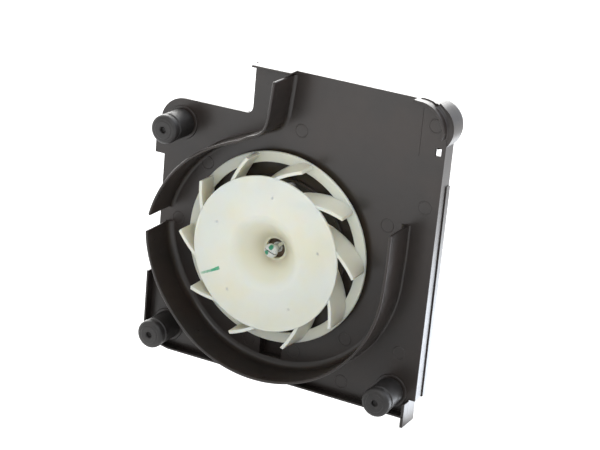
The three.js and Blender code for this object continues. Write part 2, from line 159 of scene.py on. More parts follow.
class FanFinishSettings(bpy.types.PropertyGroup):
    """Colours of the finishes."""

    housing: colour("Housing", "Moulded housing plastic", (0.025, 0.0205, 0.018))
    wheel: colour("Wheel", "Natural plastic of the wheel", (0.70, 0.715, 0.65))
    rubber: colour("Rubber", "Dampers and grommets", (0.022, 0.02, 0.019))
    paint: colour("Marking paint", "Balancing and setting marks", (0.022, 0.33, 0.17))


class FanStageSettings(bpy.types.PropertyGroup):
    """Camera placement and lens."""

    distance: bpy.props.FloatProperty(
        name="Distance", description="Camera to its aiming point", default=1.3289, unit="LENGTH"
    )
    azimuth: turn("Azimuth", "Camera direction round the object", 25.5)
    elevation: turn("Elevation", "Camera above the horizon", 18.89)
    roll: turn("Roll", "Turn of the camera about its own line of sight", 5.27)
    lens: bpy.props.FloatProperty(name="Lens", description="Focal length in millimetres", default=114.0)


# ---- places on the wheel that its shape and its finish share, in millimetres and degrees ----

DISC_FACE = WHEEL_LOW.y
HUB_R = 8.5
HUB_FRONT = -6.0
HUB_BACK = -3.0
RING_FRONT = -6.0
RING_BACK = -4.0
FIRST_BLADE = 34.5
STROKE_ANGLE = 207.5
STROKE_MIDDLE = 47.3
STROKE_START = 38.3
STROKE_END = 56.2
SLIT_ANGLE = -20
DABS = ((0.9, 3.1, 1.7), (-2.2, -1.2, 1.6))  # X, Z and radius of each dab of paint on the spindle


# ---- shader building ----


class Wire:
    """An output socket that takes part in Python arithmetic."""

    def __init__(self, graph, socket):
        self.graph = graph
        self.socket = socket

    def maths(self, operation, first, second=0.0):
        return self.graph.node("ShaderNodeMath", {"operation": operation}, {0: first, 1: second})

    def __add__(self, other):
        return self.maths("ADD", self, other)

    def __sub__(self, other):
        return self.maths("SUBTRACT", self, other)

    def __rsub__(self, other):
        return self.maths("SUBTRACT", other, self)

    def __mul__(self, other):
        return self.maths("MULTIPLY", self, other)

    def __abs__(self):
        return self.maths("ABSOLUTE", self)


class Graph:
    """A node tree under construction."""

    def __init__(self, tree):
        self.tree = tree

    def node(self, kind, settings=None, inputs=None, output=0):
        """Adds a node: its settings first, then the values or wires of its inputs."""
        node = self.tree.nodes.new(kind)
        for key, value in (settings or {}).items():
            setattr(node, key, value)
        for key, value in (inputs or {}).items():
            self.feed(node.inputs[key], value)
        return Wire(self, node.outputs[output])

    def feed(self, socket, value):
        if isinstance(value, Wire):
            self.tree.links.new(value.socket, socket)
        else:
            socket.default_value = value

    def band(self, value, low, high):
        """0 below low, 1 above high, smooth between."""
        settings = {"interpolation_type": "SMOOTHSTEP"}
        inputs = {"Value": value, "From Min": low, "From Max": high}
        return self.node("ShaderNodeMapRange", settings, inputs)

    def distance(self, across, up):
        """Length of a vector that has two parts."""
        return self.node("ShaderNodeMath", {"operation": "SQRT"}, {0: across * across + up * up})

    def mix(self, share, first, second):
        """Colour between two colours."""
        inputs = {0: share, 6: self.rgba(first), 7: self.rgba(second)}
        return self.node("ShaderNodeMix", {"data_type": "RGBA"}, inputs, 2)

    @staticmethod
    def rgba(shade):
        return shade if isinstance(shade, Wire) else (*shade, 1.0)

    def axes(self, place):
        """The three parts of a vector."""
        parts = self.tree.nodes.new("ShaderNodeSeparateXYZ")
        self.feed(parts.inputs[0], place)
        return [Wire(self, parts.outputs[i]) for i in range(3)]


class Finish(Graph):
    """One material, with its patterns in millimetres and its Principled shader at the end."""

    def __init__(self, name, **constants):
        self.material = bpy.data.materials.new(name)
        self.material.use_nodes = True
        super().__init__(self.material.node_tree)
        self.shader = self.tree.nodes["Principled BSDF"]
        for key, value in constants.items():
            self.shader.inputs[key.replace("_", " ")].default_value = value
        place = self.node("ShaderNodeTexCoord", output="Object")
        self.place = self.node("ShaderNodeMapping", {}, {"Vector": place, "Scale": (1000.0,) * 3})

    def noise(self, size, detail=3.0):
        """Cloudy pattern with features of about that many millimetres."""
        inputs = {"Vector": self.place, "Scale": 1.0 / size, "Detail": detail}
        return self.node("ShaderNodeTexNoise", {}, inputs)

    def turned(self, degrees):
        """Coordinates about the wheel axis whose X runs out at that angle from +X towards +Z."""
        inputs = {"Vector": self.place, "Rotation": (0.0, math.radians(degrees), 0.0)}
        return self.axes(self.node("ShaderNodeMapping", {}, inputs))

    def finish(self, base=None, roughness=None, height=None, depth=0.05, metallic=None):
        """Wires what varies over the surface into the shader. depth is the relief in millimetres."""
        for name, value in (("Base Color", base), ("Roughness", roughness), ("Metallic", metallic)):
            if value is not None:
                self.feed(self.shader.inputs[name], value)
        if height is not None:
            inputs = {"Height": height, "Strength": 1.0, "Distance": depth * MM}
            self.feed(self.shader.inputs["Normal"], self.node("ShaderNodeBump", {}, inputs))
        return self.material


def shaded(shade, factor):
    return tuple(min(1.0, part * factor) for part in shade)


def moulded_plastic(name, shade, roughness=0.5, grain=0.35, relief=0.02, warm=(1.12, 1.0, 0.94)):
    """Moulded plastic with a fine grain, cloudy tint and slow flow variation."""
    graph = Finish(name)
    cloud = graph.noise(38.0, 4.0)
    fine = graph.noise(grain, 2.0)
    streak = graph.noise(7.0, 3.0)
    tint = tuple(part * k for part, k in zip(shade, warm))
    base = graph.mix(graph.band(cloud, 0.35, 0.65), shaded(shade, 0.86), tint)
    base = graph.mix(fine * 0.25, base, shaded(shade, 1.35))
    return graph.finish(base, streak * 0.12 + fine * 0.1 + (roughness - 0.1), fine + streak * 0.4, relief)


def rubber(name, shade):
    """Matt rubber with a bloom of dust."""
    graph = Finish(name)
    cloud = graph.noise(4.0, 5.0)
    grain = graph.noise(0.25, 2.0)
    dust = graph.band(cloud, 0.5, 0.72)
    base = graph.mix(dust * 0.4, shade, shaded(shade, 2.2))
    return graph.finish(base, dust * 0.2 + grain * 0.15 + 0.36, grain + cloud * 0.5, 0.02)


def wheel_plastic(settings):
    """Natural off-white plastic, slightly translucent, with the paint marks made at assembly, and painted
    shade: creamier behind the disc face and darker tan round the hub.
    """
    graph = Finish(
        "wheel_plastic",
        Subsurface_Weight=0.55,
        Subsurface_Radius=(1.0, 0.72, 0.42),
        Subsurface_Scale=0.008,
        Specular_IOR_Level=0.42,
    )
    cloud = graph.noise(30.0, 4.0)
    speck = graph.noise(1.1, 4.0)
    fine = graph.noise(0.4, 2.0)
    shade = tuple(settings.wheel)
    creamy = (shade[0] * 1.02, shade[1] * 0.97, shade[2] * 0.86)
    base = graph.mix(graph.band(cloud, 0.35, 0.7), shade, creamy)
    base = graph.mix(graph.band(speck, 0.66, 0.74) * 0.3, base, shaded(creamy, 0.72))
    x, y, z = graph.axes(graph.place)
    # painted shade: surfaces set back behind the disc face (funnel, blades, ring) are tinted creamier, for
    # the warm light deep inside the wheel
    base = graph.mix(graph.band(y, -22.5, -18.0) * 0.6, base, creamy)
    # painted shade: a darker tan round the hub, where the funnel falls into shadow
    base = graph.mix(graph.band(graph.distance(x, z), 18.0, HUB_R) * 0.45, base, (0.6, 0.55, 0.37))
    base = graph.mix(paint_stroke(graph), base, tuple(settings.paint))
    return graph.finish(base, fine * 0.08 + cloud * 0.1 + 0.3, fine + cloud, 0.012)


def paint_stroke(graph):
    """How much paint covers the disc: a brush stroke that runs out towards the disc's edge."""
    along, front, across = graph.turned(STROKE_ANGLE)
    edge = graph.noise(1.6, 3.0)
    past_middle = along - STROKE_MIDDLE
    bow = past_middle * past_middle * -0.004 + 0.5
    half = graph.band(along, 46.5, 39.8) * 0.4 + 0.85
    stroke = graph.band(abs(across - bow) - half + (edge - 0.5) * 0.5, 0.22, -0.16)
    stroke = stroke * graph.band(along, STROKE_START, STROKE_START + 0.9)
    stroke = stroke * graph.band(along, STROKE_END, STROKE_END - 2.7)
    stroke = stroke * graph.band(front, DISC_FACE + 0.3, DISC_FACE + 0.1)
    patchy = graph.band(graph.noise(2.2, 3.0), 0.2, 0.6)
    fade = patchy * 0.25 + graph.band(along, STROKE_END + 0.8, 41.0) * 0.45 + 0.3
    return stroke * fade


def spindle_plastic(settings):
    """Natural nylon with dabs of paint on the prongs."""
    graph = Finish(
        "spindle_nylon",
        Subsurface_Weight=0.3,
        Subsurface_Radius=(1.0, 0.8, 0.6),
        Subsurface_Scale=0.003,
    )
    grain = graph.noise(0.6, 3.0)
    base = graph.mix(graph.band(grain, 0.4, 0.7), (0.52, 0.54, 0.52), (0.66, 0.67, 0.62))
    x, y, z = graph.axes(graph.place)
    for dab_x, dab_z, reach in DABS:
        away = graph.distance(x - dab_x, z - dab_z)
        dab = graph.band(away + grain * 1.2, reach + 0.9, reach + 0.3)
        base = graph.mix(dab * graph.band(y, -9.0, -10.5), base, shaded(settings.paint, 0.65))
    return graph.finish(base, grain * 0.2 + 0.28, grain, 0.02)


def stripes(graph, direction, scale, distortion):
    """Soft lines side by side."""
    inputs = {"Vector": graph.place, "Scale": scale, "Distortion": distortion}
    return graph.node("ShaderNodeTexWave", {"bands_direction": direction}, inputs)


def metal(name, shade, roughness=0.3, brushed=0.6, relief=0.01):
    """Bare metal with fine marks and a little tarnish."""
    graph = Finish(name, Metallic=1.0)
    marks = graph.noise(brushed, 5.0)
    tarnish = graph.noise(6.0, 4.0)
    base = graph.mix(graph.band(tarnish, 0.4, 0.75), shade, shaded(shade, 0.62))
    return graph.finish(base, marks * 0.22 + tarnish * 0.16 + (roughness - 0.18), marks, relief)


def laminated_metal():
    """Stack of thin stampings, seen as fine lines across the wheel axis."""
    graph = Finish("laminated_steel", Metallic=0.9)
    lines = stripes(graph, "Y", 0.62, 0.2)
    base = graph.mix(lines, (0.16, 0.16, 0.17), (0.46, 0.47, 0.48))
    return graph.finish(base, 0.5 - lines * 0.15, lines, 0.08)


def copper_winding():
    """Enamelled wire, turn beside turn."""
    graph = Finish("copper_winding", Metallic=0.85)
    turns = stripes(graph, "DIAGONAL", 0.9, 0.4)
    base = graph.mix(turns, (0.22, 0.07, 0.02), (0.72, 0.3, 0.12))
    return graph.finish(base, 0.42 - turns * 0.12, turns, 0.12)


def circuit_board():
    """Green board with darker tracks."""
    graph = Finish("board_laminate", Coat_Weight=0.3)
    inputs = {"Vector": graph.place, "Scale": 0.35}
    cells = graph.node("ShaderNodeTexVoronoi", {"distance": "CHEBYCHEV"}, inputs)
    tracks = graph.band(cells, 0.42, 0.5)
    base = graph.mix(tracks, (0.03, 0.15, 0.06), (0.07, 0.28, 0.11))
    return graph.finish(base, 0.45 - tracks * 0.1, tracks, 0.04)


# ---- mesh building; all lengths are millimetres until a piece is finished ----


def polar(radius, degrees):
    angle = math.radians(degrees)
    return radius * math.cos(angle), radius * math.sin(angle)


def arc(centre, radius, start, end, steps):
    """Points round a centre in the XZ plane."""
    for i in range(steps + 1):
        x, z = polar(radius, start + (end - start) * i / steps)
        yield centre[0] + x, centre[1] + z


def chain(bm, points, closed=False):
    """Vertices joined by edges, one after the other. Returns both lists."""
    verts = [bm.verts.new(point) for point in points]
    edges = [bm.edges.new(pair) for pair in zip(verts, verts[1:])]
    if closed:
        edges.append(bm.edges.new((verts[-1], verts[0])))
    return verts, edges


def spun(outline, closed=True, steps=96, sweep=FULL_TURN, start=0.0, centre=(0.0, 0.0), arcs=3):
    """A profile of (radius, y, fillet) swept round the Y axis through centre. A part sweep has flat ends."""
    bm = bmesh.new()
    verts, _ = chain(bm, [(r, y, 0.0) for r, y, _ in outline], closed)
    fillets = {}
    for vert, (_, _, fillet) in zip(verts, outline):
        if fillet:
            fillets.setdefault(fillet, []).append(vert)
    for fillet, corners in fillets.items():
        bmesh.ops.bevel(
            bm, geom=corners, offset=fillet, segments=arcs, profile=0.5, affect="VERTICES", material=-1
        )
    whole = sweep >= FULL_TURN
    if not whole:
        bmesh.ops.contextual_create(bm, geom=bm.edges[:])
    bmesh.ops.rotate(bm, verts=bm.verts, cent=(0, 0, 0), matrix=Matrix.Rotation(-start, 3, "Y"))
    geometry = bm.verts[:] + bm.edges[:] + bm.faces[:]
    bmesh.ops.spin(
        bm, geom=geometry, cent=(0, 0, 0), axis=(0, -1, 0), angle=sweep, steps=steps, use_merge=whole
    )
    bmesh.ops.remove_doubles(bm, verts=bm.verts, dist=1e-4)
    bmesh.ops.translate(bm, verts=bm.verts, vec=(centre[0], 0.0, centre[1]))
    bmesh.ops.recalc_face_normals(bm, faces=bm.faces)
    return bm


def rounded_edges(bm, width, segments=3, least=40.0, keep=lambda edge: True):
    """Rounds every edge that turns by more than least degrees."""
    sharp = [
        edge
        for edge in bm.edges
        if len(edge.link_faces) == 2 and edge.calc_face_angle(0.0) > math.radians(least) and keep(edge)
    ]
    bmesh.ops.bevel(
        bm, geom=sharp, offset=width, segments=segments, profile=0.5, affect="EDGES", material=-1,
        clamp_overlap=True,
    )


def brick(x, y, z, edge=0.3, segments=2):
    """A block between two limits on each axis, with rounded edges."""
    bm = bmesh.new()
    bmesh.ops.create_cube(bm, size=1.0)
    size = Vector((x[1] - x[0], y[1] - y[0], z[1] - z[0]))
    bmesh.ops.scale(bm, verts=bm.verts, vec=size)
    bmesh.ops.translate(bm, verts=bm.verts, vec=((x[0] + x[1]) / 2, (y[0] + y[1]) / 2, (z[0] + z[1]) / 2))
    if edge:
        rounded_edges(bm, edge, segments)
    return bm


def swung(bm, degrees):
    """Turns a mesh about the wheel axis, from +X towards +Z."""
    matrix = Matrix.Rotation(-math.radians(degrees), 3, "Y")
    bmesh.ops.rotate(bm, verts=bm.verts, cent=(0, 0, 0), matrix=matrix)
    return bm


def plate(outline, y0, y1, holes=(), edge=0.4):
    """A flat sheet with holes, thickness from y0 to y1, with rounded edges."""
    bm = bmesh.new()
    for ring in (outline, *holes):
        chain(bm, [(x, y0, z) for x, z in ring], closed=True)
    bmesh.ops.triangle_fill(bm, use_beauty=True, edges=bm.edges[:])
    bmesh.ops.dissolve_limit(bm, angle_limit=math.radians(1), verts=bm.verts, edges=bm.edges)
    grown = bmesh.ops.extrude_face_region(bm, geom=bm.faces[:])
    moved = [item for item in grown["geom"] if isinstance(item, bmesh.types.BMVert)]
    bmesh.ops.translate(bm, verts=moved, vec=(0.0, y1 - y0, 0.0))
    bmesh.ops.recalc_face_normals(bm, faces=bm.faces)
    if edge:
        rounded_edges(bm, edge, 3)
    return bm


def sideways(line):
    """For each point of a line in XZ, the unit direction to its right."""
    result = []
    for i in range(len(line)):
        before, after = line[max(i - 1, 0)], line[min(i + 1, len(line) - 1)]
        along = Vector((after[0] - before[0], after[1] - before[1])).normalized()
        result.append((along.y, -along.x))
    return result


def offset(line, distance):
    """The line moved to its right."""
    return [(x + dx * distance, z + dz * distance) for (x, z), (dx, dz) in zip(line, sideways(line))]


def wall(line, thickness, y0, y1, edge=0.45):
    """An upright wall, its outer face on the line and its thickness to the right."""
    outline = list(line) + list(reversed(offset(line, thickness)))
    return plate(outline, y0, y1, edge=edge)


def fillet_strip(line, radius, floor_y=0.0, sink=0.3, steps=6):
    """Concave fillet between a floor at floor_y and a wall on the line, on the line's right."""
    bm = bmesh.new()
    section = [(-sink, floor_y + sink), (radius, floor_y + sink)]
    for i in range(steps + 1):
        angle = math.pi / 2 * i / steps
        section.append((radius * (1 - math.sin(angle)), floor_y - radius * (1 - math.cos(angle))))
    section.append((-sink, floor_y - radius))
    rows = [chain(bm, [(x, y, z) for x, z in offset(line, away)])[0] for away, y in section]
    for row, following in zip(rows, rows[1:] + rows[:1]):
        edges = [bm.edges.get(pair) for side in (row, following) for pair in zip(side, side[1:])]
        bmesh.ops.bridge_loops(bm, edges=edges)
    for end in (0, -1):
        bm.faces.new([row[end] for row in rows])
    bmesh.ops.recalc_face_normals(bm, faces=bm.faces)
    return bm


def united(meshes):
    """One mesh of several closed shells."""
    whole = bmesh.new()
    for bm in meshes:
        part = bpy.data.meshes.new("part")
        bm.to_mesh(part)
        bm.free()
        whole.from_mesh(part)
        bpy.data.meshes.remove(part)
    return whole


def piece(name, bm, material, body, replaces=(), smooth=35.0):
    """Turns a mesh in millimetres into a finished piece that rides on a body."""
    bmesh.ops.scale(bm, verts=bm.verts, vec=(MM, MM, MM))
    mesh = bpy.data.meshes.new(name)
    bm.to_mesh(mesh)
    bm.free()
    return dressed(bpy.data.objects.new(name, mesh), material, body, replaces, smooth)


def dressed(made, material, body, replaces=(), smooth=35.0):
    """Gives a new object its shading, finish and body."""
    made.data.shade_smooth()
    made.data.set_sharp_from_angle(angle=math.radians(smooth))
    made.data.materials.clear()
    made.data.materials.append(material)
    bpy.context.scene.collection.objects.link(made)
    weighted = made.modifiers.new("flat_faces", "WEIGHTED_NORMAL")
    weighted.keep_sharp = True
    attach(made, body)
    if replaces:
        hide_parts(*replaces)
    return made


def refined(node, material, edge=0.25, segments=2, name=None):
    """A finer copy of a CAD node: merged, its flat faces whole again, its edges rounded."""
    source = frame["nodes"][node]
    bm = bmesh.new()
    bm.from_mesh(source.data)
    bmesh.ops.remove_doubles(bm, verts=bm.verts, dist=2e-6)
    bmesh.ops.dissolve_limit(bm, angle_limit=math.radians(0.5), verts=bm.verts, edges=bm.edges)
    bmesh.ops.recalc_face_normals(bm, faces=bm.faces)
    mesh = bpy.data.meshes.new(name or node + "_finished")
    bm.to_mesh(mesh)
    bm.free()
    made = bpy.data.objects.new(mesh.name, mesh)
    dressed(made, material, source["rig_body"], (node,))
    if edge:
        rounding = made.modifiers.new("rounded_edges", "BEVEL")
        rounding.width = edge * MM
        rounding.segments = segments
        rounding.limit_method = "ANGLE"
        rounding.angle_limit = math.radians(40)
        rounding.use_clamp_overlap = True
        bpy.context.view_layer.objects.active = made
        made.modifiers.move(len(made.modifiers) - 1, 0)
    return made


# ---- lines of the housing ----

TOP = HOUSING_HIGH.z
RIGHT = 115.2
LEFT = -98.4
BOTTOM = -100.0
CORNER = (96.3, 107.0)
CORNER_R = 20.0
ARM_TOP = 91.0
ARM_R = 19.0
ARM_X = -84.0
SKIRT_CORNER = (-86.5, -81.0)
SEAT_R = 12.4
PIN_TIP = -19
NECK_X = -30.0
SKIRT_LEFT = -102.6
SKIRT_TOP = -41.5
LEFT_STEP = 47
FOOT_X = 110.5
FLANGE_BOTTOM = -88.0
FLANGE_DEPTH = 17.0
RIM_FRONT = 0.6
RIM_BACK = 9
RIB_DEPTH = (1.2, 6)
BOSS_RING_R = 61
INLET_R = 50.0
POCKET = (103.2, 108.8)
POCKET_R = 17.2
POCKET_DEPTH = 21.0
SCROLL_RADII = (93, 91, 89.8, 91, 91.8, 92.8, 94, 94.7, 95.2, 95.4)
SCROLL_START = 181.5
TONGUE_R = 83.0
TONGUE_END = 174.0
OUTLET_END = 38.0
DAMPERS = {name: middle_of(name) for name in ("damper_top_left", "damper_bottom_left", "damper_bottom_right")}


def scroll_radius(share):
    """Outer radius of the scroll, from 0 at its start to 1 on the right, as a smooth curve."""
    place = share * (len(SCROLL_RADII) - 1)
    i = min(int(place), len(SCROLL_RADII) - 2)
    t = place - i
    a, b, c, d = (SCROLL_RADII[min(max(k, 0), len(SCROLL_RADII) - 1)] for k in (i - 1, i, i + 1, i + 2))
    return 0.5 * (2 * b + (c - a) * t + (2 * a - 5 * b + 4 * c - d) * t**2 + (3 * b - a - 3 * c + d) * t**3)


def scroll_line(steps=96):
    """Outer face of the scroll wall, clockwise from the outlet to the open gap."""
    sweep = 360 - SCROLL_START
    bend = [polar(scroll_radius(i / steps), SCROLL_START + sweep * i / steps) for i in range(steps + 1)]
    return [*bend, (95.9, 7), (96.2, 14), (96.4, 26), (96.4, OUTLET_END)][::-1]


def tongue_line(steps=28):
    """Outer face of the tongue wall, clockwise from the open gap into the outlet neck."""
    bend = []
    for i in range(steps + 1):
        angle = TONGUE_END - i * (TONGUE_END - 107) / steps
        opened = min(max((angle - 118) / 60, 0), 1)
        bend.append(polar(TONGUE_R + (SCROLL_RADII[0] - TONGUE_R) * opened**1.2, angle))
    lift = [(-18, 83.4), (-12, 85.6), (-9.1, 87.4), (-7, 89.6), (-5.4, 92.6), (-4.4, 96), (-3.7, 101)]
    return [*bend, *lift, (-3.2, 107), (-2.4, 116), (-1.8, TOP - 3)]


def floor_outline():
    skirt_x, skirt_z = SKIRT_CORNER
    return [
        (NECK_X, TOP),
        *arc((NECK_X - 5, ARM_TOP + 5), 5.0, 0, -90, 6),
        *arc((ARM_X, ARM_TOP - ARM_R), ARM_R, 90, 165, 16),
        (-106, 56),
        (-106, LEFT_STEP),
        (LEFT, LEFT_STEP),
        (LEFT, SKIRT_TOP),
        (SKIRT_LEFT, SKIRT_TOP),
        *arc((skirt_x, skirt_z), skirt_x - SKIRT_LEFT, 180, 255, 16),
        (skirt_x + 6, BOTTOM + 1.6),
        (FOOT_X, BOTTOM),
        (FOOT_X, FLANGE_BOTTOM),
        (RIGHT, FLANGE_BOTTOM),
        *arc(CORNER, CORNER_R, 0, 90, 20),
        (2, TOP),
    ]


def rectangle(x, z):
    return [(x[0], z[0]), (x[1], z[0]), (x[1], z[1]), (x[0], z[1])]


# ---- operators, one for each piece or group of like pieces ----


class FAN_OT_stage(bpy.types.Operator):
    """Floor, soft light and camera"""

    bl_idname = "fan.stage"
    bl_label = "Stage"

    def execute(self, context):
        settings = context.scene.fan_stage
        self.camera(context, settings)
        self.floor(context)
        self.light(context)
        return {"FINISHED"}

    def camera(self, context, settings):
        az, el, roll = settings.azimuth, settings.elevation, settings.roll
        back = Vector((math.sin(az) * math.cos(el), -math.cos(az) * math.cos(el), math.sin(el)))
        right = Vector((math.cos(az), math.sin(az), 0.0))
        up = back.cross(right)
        tilted = right * math.cos(roll) + up * math.sin(roll)
        upright = up * math.cos(roll) - right * math.sin(roll)
        data = bpy.data.cameras.new("camera")
        data.lens = settings.lens
        data.sensor_width = 36.0
        camera = bpy.data.objects.new("camera", data)
        facing = Matrix((tilted, upright, back)).transposed().to_4x4()
        camera.matrix_world = Matrix.Translation(AIM * MM + back * settings.distance) @ facing
        context.scene.collection.objects.link(camera)
        context.scene.camera = camera

    def floor(self, context):
        """A plain white floor that lights the object more from behind and from far in front."""
        bm = bmesh.new()
        bmesh.ops.create_grid(bm, x_segments=1, y_segments=1, size=FLOOR_REACH)
        bmesh.ops.translate(bm, verts=bm.verts, vec=(0.0, 0.0, CAD_BOX[0].z - FLOOR_GAP))
        mesh = bpy.data.meshes.new("floor")
        bm.to_mesh(mesh)
        bm.free()
        floor = bpy.data.objects.new("floor", mesh)
        graph = Finish(
            "pale_floor",
            Base_Color=(0.45, 0.45, 0.45, 1.0),
            Roughness=0.9,
            Emission_Strength=1.0,
        )
        x, y, _ = graph.axes(graph.place)
        near = graph.band(y, -95.0, -60.0) * 0.6
        far = graph.band(y, -250.0, -520.0) * 0.8
        left = graph.band(x, -30.0, -160.0) * 0.3
        past_corner = graph.band(x, 108.0, 125.0) * graph.band(y - x * 0.8, -92.0, -80.0)
        behind = past_corner * graph.band(y, 560.0, 180.0)
        seen = graph.node("ShaderNodeLightPath", output="Is Camera Ray")
        glow = seen * 0.85 + (1 - seen) * (near + far + left + behind * 5.0)
        shade = graph.mix(behind, WHITE, (0.9, 0.96, 1.05))
        glow = graph.node("ShaderNodeVectorMath", {"operation": "SCALE"}, {0: shade, 3: glow})
        graph.feed(graph.shader.inputs["Emission Color"], glow)
        mesh.materials.append(graph.material)
        context.scene.collection.objects.link(floor)

    def light(self, context):
        context.scene.view_settings.view_transform = "Standard"
        self.surroundings(context)
        data = bpy.data.lights.new("front_light", "AREA")
        data.shape = "DISK"
        data.size = 0.8
        data.energy = 3.5
        data.color = (1.0, 0.98, 0.95)
        lamp = bpy.data.objects.new("front_light", data)
        aim = (-LAMP_PLACE).to_track_quat("-Z", "Y").to_matrix().to_4x4()
        lamp.matrix_world = Matrix.Translation(LAMP_PLACE) @ aim
        context.scene.collection.objects.link(lamp)

    def surroundings(self, context):
        """A bright backdrop behind the object, a dim room in front of it, and white for the camera."""
        world = bpy.data.worlds.new("studio")
        world.use_nodes = True
        sky = Graph(world.node_tree)
        x, y, z = sky.axes(sky.node("ShaderNodeTexCoord", output="Generated"))
        panel = sky.band(x, 0.12, -0.16) * sky.band(z, 0.8, 0.5) * 5.0
        backdrop = sky.band(y, -0.05, 0.4) * (panel + 0.9)
        strength = backdrop + sky.band(z, 0.1, 0.8) * 0.7 + 0.5
        seen = sky.node("ShaderNodeLightPath", output="Is Camera Ray")
        strength = seen + (1 - seen) * strength
        background = world.node_tree.nodes["Background"]
        sky.feed(background.inputs["Strength"], strength)
        tint = sky.mix(sky.band(x, -0.3, 0.7), (1.0, 0.995, 0.98), (0.9, 0.95, 1.04))
        sky.feed(background.inputs["Color"], sky.mix(seen, tint, WHITE))
        context.scene.world = world


class FAN_OT_housing(bpy.types.Operator):
    """Moulded plate with scroll wall, tongue, lips, flange, pocket and ribs"""

    bl_idname = "fan.housing"
    bl_label = "Housing"

    def execute(self, context):
        sizes = context.scene.fan_housing
        finishes = context.scene.fan_finish
        plastic = moulded_plastic("housing_plastic", tuple(finishes.housing), 0.3, relief=0.008)
        for name, build in (
            ("housing_plate", self.floor),
            ("housing_scroll_walls", self.walls),
            ("housing_wall_fillets", self.fillets),
            ("housing_lips", self.lips),
            ("housing_rear_flange", self.flange),
            ("housing_corner_pocket", self.pocket),
            ("housing_inlet_collar", self.collar),
            ("housing_rear_ribs", self.ribs),
            ("housing_damper_pins", self.pins),
            ("housing_ejector_marks", self.marks),
        ):
            replaced = ("scroll_housing",) if name == "housing_plate" else ()
            piece(name, build(sizes), plastic, "housing", replaced)
        return {"FINISHED"}

    def floor(self, sizes):
        holes = [
            list(arc((0, 0), INLET_R, 0, 360 - 3.75, 95)),
            rectangle((-8.8, 8.8), (-84.6, -72)),
            rectangle((109.2, 113.2), (90.2, 95.8)),
        ]
        return plate(floor_outline(), 0.0, sizes.floor, holes, sizes.edge)

    def walls(self, sizes):
        return united(
            wall(line, sizes.wall, -sizes.wall_height, 1.6, 0.9) for line in (scroll_line(), tongue_line())
        )

    def fillets(self, sizes):
        strips = []
        for line, inner in ((scroll_line(), sizes.root_fillet), (tongue_line(), sizes.tongue_fillet)):
            strips.append(fillet_strip(offset(line, sizes.wall), inner))
            strips.append(fillet_strip(line[::-1], sizes.outer_fillet, steps=4))
        return united(strips)

    def lips(self, sizes):
        skirt_x, skirt_z = SKIRT_CORNER
        skirt = [
            (SKIRT_LEFT + 0.05, SKIRT_TOP - 0.1),
            *arc((skirt_x, skirt_z), skirt_x - SKIRT_LEFT - 0.05, 180, 255, 16),
            (skirt_x + 6, BOTTOM + 1.65),
            (FOOT_X, BOTTOM + 0.05),
        ]
        x, z = CORNER
        corner = [(RIGHT - 0.05, z - 3.5), *arc(CORNER, CORNER_R - 0.05, 0, 90, 20), (x - 4, TOP - 0.95)]
        neck = [(NECK_X + 1.6, TOP - 0.05), (2, TOP - 0.05)]
        return united(
            [
                wall(skirt[::-1], sizes.lip, -7.0, 1.0, 0.4),
                wall(corner[::-1], sizes.lip, -7.0, 1.0, 0.4),
                wall(neck, sizes.lip, -10.0, sizes.floor - 0.1, 0.4),
                wall(list(arc(CORNER, CORNER_R + 0.6, 0, 96, 20))[::-1], 1.4, 1.0, 2.4, 0.2),
                fillet_strip(list(arc(CORNER, CORNER_R - 0.1, -12, 58, 20)), 3.0, 0.55),
            ]
        )

    def flange(self, sizes):
        top = CORNER[1]
        outer = RIGHT - 0.05
        low = FLANGE_BOTTOM
        rims = (
            ((outer - sizes.lip, outer), (RIM_FRONT, FLANGE_DEPTH), (low + 0.05, top)),
            ((outer - 1.4, RIGHT + 0.9), (11, FLANGE_DEPTH - 0.02), (low + 0.1, top - 40)),
            ((-78, FOOT_X - 0.1), (RIM_FRONT, RIM_BACK), (BOTTOM + 0.65, BOTTOM + 2.2)),
            ((LEFT + 0.05, LEFT + 1.6), (RIM_FRONT, RIM_BACK), (SKIRT_TOP + 0.1, LEFT_STEP - 0.1)),
            ((ARM_X + 8, NECK_X - 5), (RIM_FRONT, 5.8), (ARM_TOP - 1.6, ARM_TOP - 0.02)),
        )
        foot = brick((FOOT_X - 2.2, FOOT_X - 0.04), (-7, FLANGE_DEPTH - 4), (-107, low - 1), 0.5, 3)
        return united([*(brick(x, y, z, 0.35) for x, y, z in rims), foot])

    def pocket(self, sizes):
        wall_in = POCKET_R - 2.0
        rear = [
            (POCKET_R, 9.6, 0.0),
            (POCKET_R, POCKET_DEPTH - 4, 1.5),
            (POCKET_R - 1.2, POCKET_DEPTH - 1.2, 1.0),
            (POCKET_R - 4, POCKET_DEPTH, 0.6),
            (POCKET_R - 6, POCKET_DEPTH, 0.4),
            (wall_in, POCKET_DEPTH - 5, 1.0),
            (wall_in, 9.6, 0.0),
        ]
        front = [
            (POCKET_R - 0.01, RIM_FRONT, 0.0),
            (POCKET_R - 0.01, 10, 0.0),
            (wall_in + 0.01, 10, 0.0),
            (wall_in + 0.01, RIM_FRONT, 0.0),
        ]
        post = [(0, 1, 0), (4.6, 1, 0), (4.6, 15, 0.4), (1.8, 15, 0.3), (1.8, 8, 0), (0, 8, 0)]
        bridge = list(arc(POCKET, POCKET_R - 0.03, -34, 112, 36))
        return united(
            [
                plate(bridge, 0.55, 2.4, edge=0.3),
                spun(rear, steps=72, centre=POCKET),
                spun(front, steps=64, sweep=math.radians(318), start=math.radians(-50), centre=POCKET),
                spun(post, closed=False, steps=40, centre=POCKET),
            ]
        )

    def collar(self, sizes):
        ring = [
            (INLET_R - 0.02, -2.0, 0.8),
            (INLET_R + 2.2, -2.0, 0.8),
            (INLET_R + 2.2, 5.0, 0.5),
            (INLET_R - 0.02, 5.0, 0.5),
        ]
        return spun(ring, steps=120)

